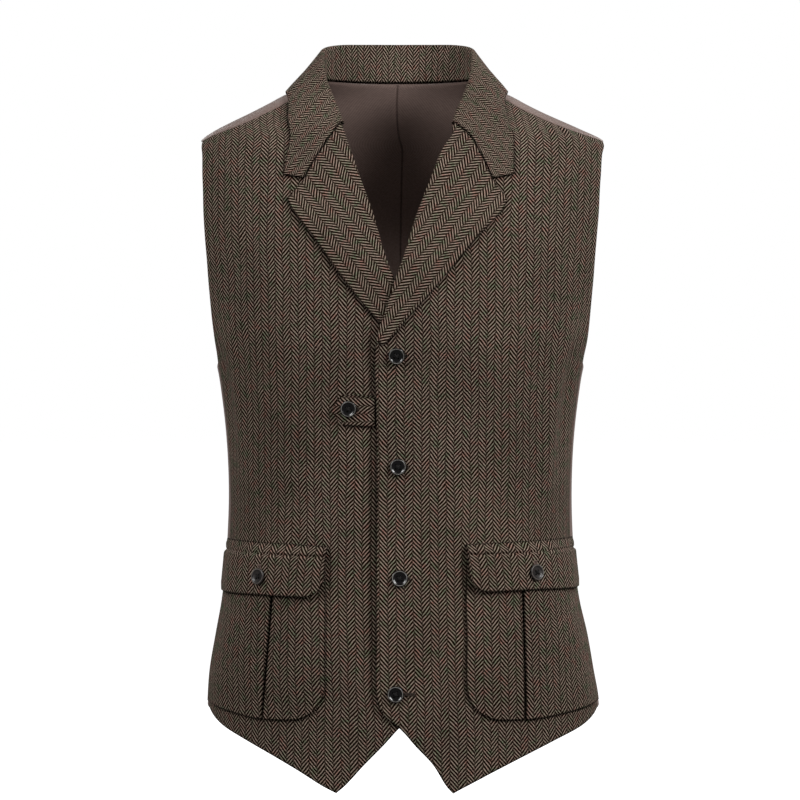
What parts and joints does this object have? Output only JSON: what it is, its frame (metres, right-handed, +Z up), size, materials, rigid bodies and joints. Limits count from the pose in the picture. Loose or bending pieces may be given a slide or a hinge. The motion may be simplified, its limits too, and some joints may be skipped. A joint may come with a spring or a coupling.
{
  "type": "waistcoat",
  "caption": "Hollow tailored waistcoat in its worn form, with notched lapels, a rolled collar, pleated flap pockets, a buttoned closing and a pointed cutaway hem.",
  "frame": {"origin": "Midway between the outer ends of the shoulder seams, where the wearer's shoulders hold the waistcoat up", "axes": "+Z up, the fronts face -Y, +X towards the wearer's left"},
  "size_m": [0.3812, 0.2541, 0.7039],
  "materials": {
    "tweed": "matte brown herringbone wool",
    "satin": "plain grey-brown lining satin",
    "glossy_button": "polished black horn",
    "dull_button": "dull dark horn"
  },
  "bodies": {
    "root": {"front_right": "tweed", "front_left": "tweed", "back_right": "satin", "back_left": "satin", "lapel_right": "tweed", "lapel_left": "tweed", "collar": "tweed", "pocket_right": "tweed", "pocket_left": "tweed", "flap_right": "tweed", "flap_left": "tweed", "tab": "tweed", "button_front_1": "glossy_button", "button_front_2": "glossy_button", "button_front_3": "glossy_button", "button_front_4": "glossy_button", "button_tab": "glossy_button", "button_flap_right": "dull_button", "button_flap_left": "dull_button"}
  },
  "joints": []
}
